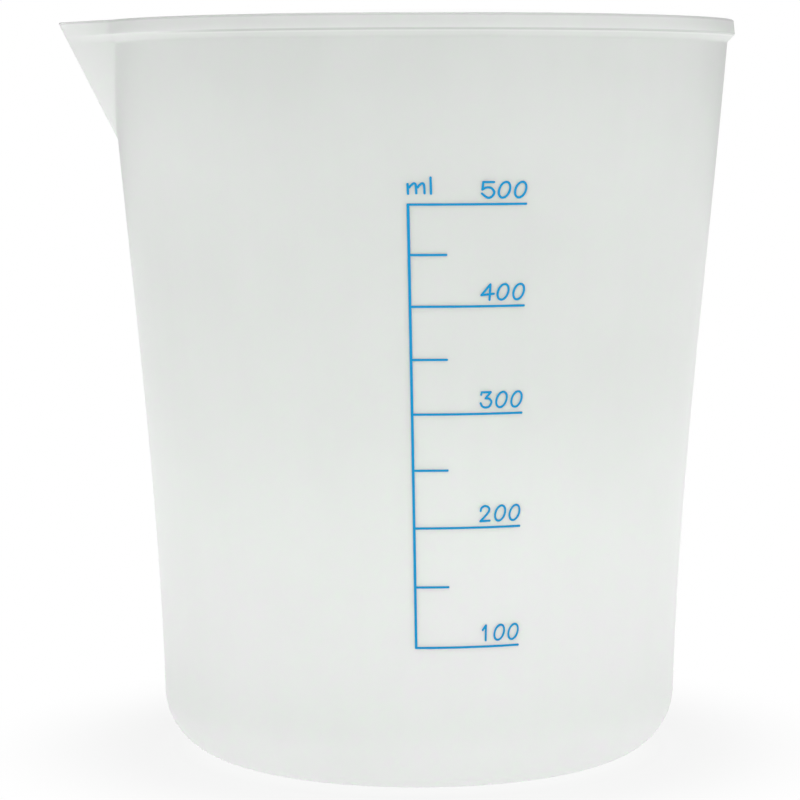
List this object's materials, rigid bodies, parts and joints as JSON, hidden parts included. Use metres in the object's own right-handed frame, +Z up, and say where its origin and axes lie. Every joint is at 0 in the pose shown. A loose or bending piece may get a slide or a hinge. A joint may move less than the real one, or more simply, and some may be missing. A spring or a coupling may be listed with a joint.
{
  "type": "plastic beaker",
  "caption": "Tapered moulded plastic beaker with a rounded foot, a beaded rim, a pouring spout and a printed volume scale on its side.",
  "frame": {"origin": "on the vessel's axis, on the plane of the base that it stands on", "axes": "+Z up along the vessel's axis, the spout points along -X, the printed scale faces -Y"},
  "size_m": [0.1095, 0.1024, 0.119],
  "materials": {
    "frosted_plastic": "milky, frosted polypropylene with a satin surface",
    "blue_ink": "satin screen-printed ink"
  },
  "bodies": {
    "root": {"beaker_body": "frosted_plastic", "digit_100_1": "blue_ink", "digit_100_2": "blue_ink", "digit_100_3": "blue_ink", "digit_200_1": "blue_ink", "digit_200_2": "blue_ink", "digit_200_3": "blue_ink", "digit_300_1": "blue_ink", "digit_300_2": "blue_ink", "digit_300_3": "blue_ink", "digit_400_1": "blue_ink", "digit_400_2": "blue_ink", "digit_400_3": "blue_ink", "digit_500_1": "blue_ink", "digit_500_2": "blue_ink", "digit_500_3": "blue_ink", "mark_100": "blue_ink", "mark_150": "blue_ink", "mark_200": "blue_ink", "mark_250": "blue_ink", "mark_300": "blue_ink", "mark_350": "blue_ink", "mark_400": "blue_ink", "mark_450": "blue_ink", "mark_500": "blue_ink", "scale_spine": "blue_ink", "unit_l": "blue_ink", "unit_m": "blue_ink"}
  },
  "joints": []
}
